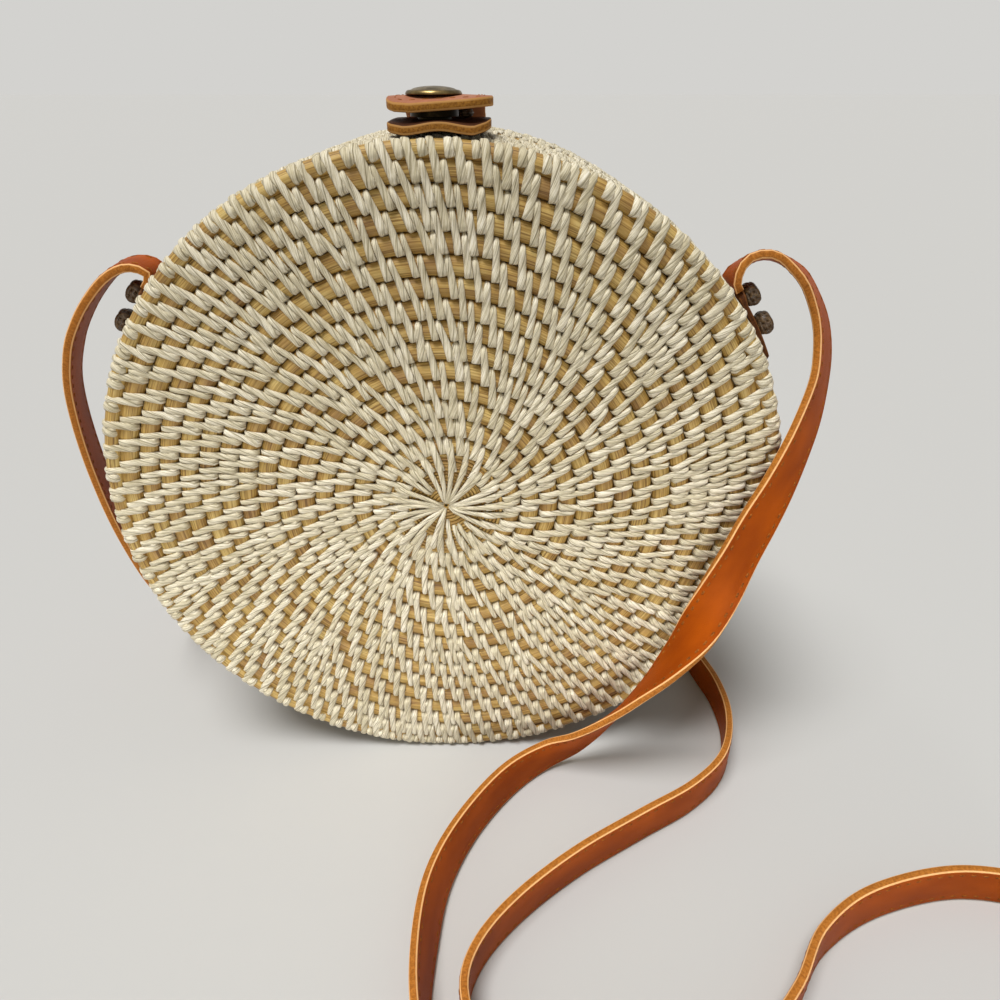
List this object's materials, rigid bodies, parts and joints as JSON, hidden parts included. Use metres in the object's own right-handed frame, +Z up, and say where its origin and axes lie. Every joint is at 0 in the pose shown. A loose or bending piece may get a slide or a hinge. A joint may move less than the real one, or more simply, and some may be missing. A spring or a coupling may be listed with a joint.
{
  "type": "round coiled shoulder bag",
  "caption": "round shoulder bag of coiled rush with off-white wrapping, a leather closure flap with a brass press stud and a long tan leather strap",
  "frame": {"origin": "Middle of the bag's bottom on the surface that it stands on, under the seam of the two shells", "axes": "+X to the right of someone who faces the front shell, +Y from the front shell to the back shell, +Z up"},
  "size_m": [0.3027, 0.2536, 0.2083],
  "materials": {
    "coiled_rush": "natural",
    "rush_wrap": "natural",
    "lining_cloth": "woven",
    "reed_cord": "natural",
    "reed_knot": "natural",
    "strap_leather": "satin",
    "flap_leather": "satin",
    "dark_leather": "satin",
    "aged_brass": "aged"
  },
  "bodies": {
    "root": {"front_face": "coiled_rush", "front_wraps": "rush_wrap", "front_wall": "coiled_rush", "front_rim": "rush_wrap", "front_lining": "lining_cloth", "gusset_right": "lining_cloth", "gusset_left": "lining_cloth", "hinge_ties": "reed_cord", "strap_end_right": "strap_leather", "strap_end_left": "strap_leather", "strap_knots_right": "reed_knot", "strap_knots_left": "reed_knot", "shoulder_strap": "strap_leather", "front_tab": "dark_leather", "tab_knots": "reed_knot", "snap_stud": "aged_brass", "snap_post": "aged_brass"},
    "back_shell": {"back_face": "coiled_rush", "back_wraps": "rush_wrap", "back_wall": "coiled_rush", "back_rim": "rush_wrap", "back_lining": "lining_cloth", "flap_root": "flap_leather", "flap_knots": "reed_knot"},
    "flap": {"closure_flap": "flap_leather", "snap_cap": "aged_brass", "snap_socket": "aged_brass"}
  },
  "joints": [
    {"name": "back_open", "type": "hinge", "parent": "root", "child": "back_shell", "pos_m": [0, 0, 0], "axis": [-1, 0, 0], "range_deg": [0, 24], "deforming": ["gusset_right", "gusset_left", "hinge_ties"]},
    {"name": "flap_lift", "type": "hinge", "parent": "back_shell", "child": "flap", "pos_m": [0, 0.006, 0.2015], "axis": [-1, 0, 0], "range_deg": [0, 108]}
  ],
  "couplings": [
    {"joint": "flap_lift", "follows": "back_open", "ratio": 4.5}
  ]
}
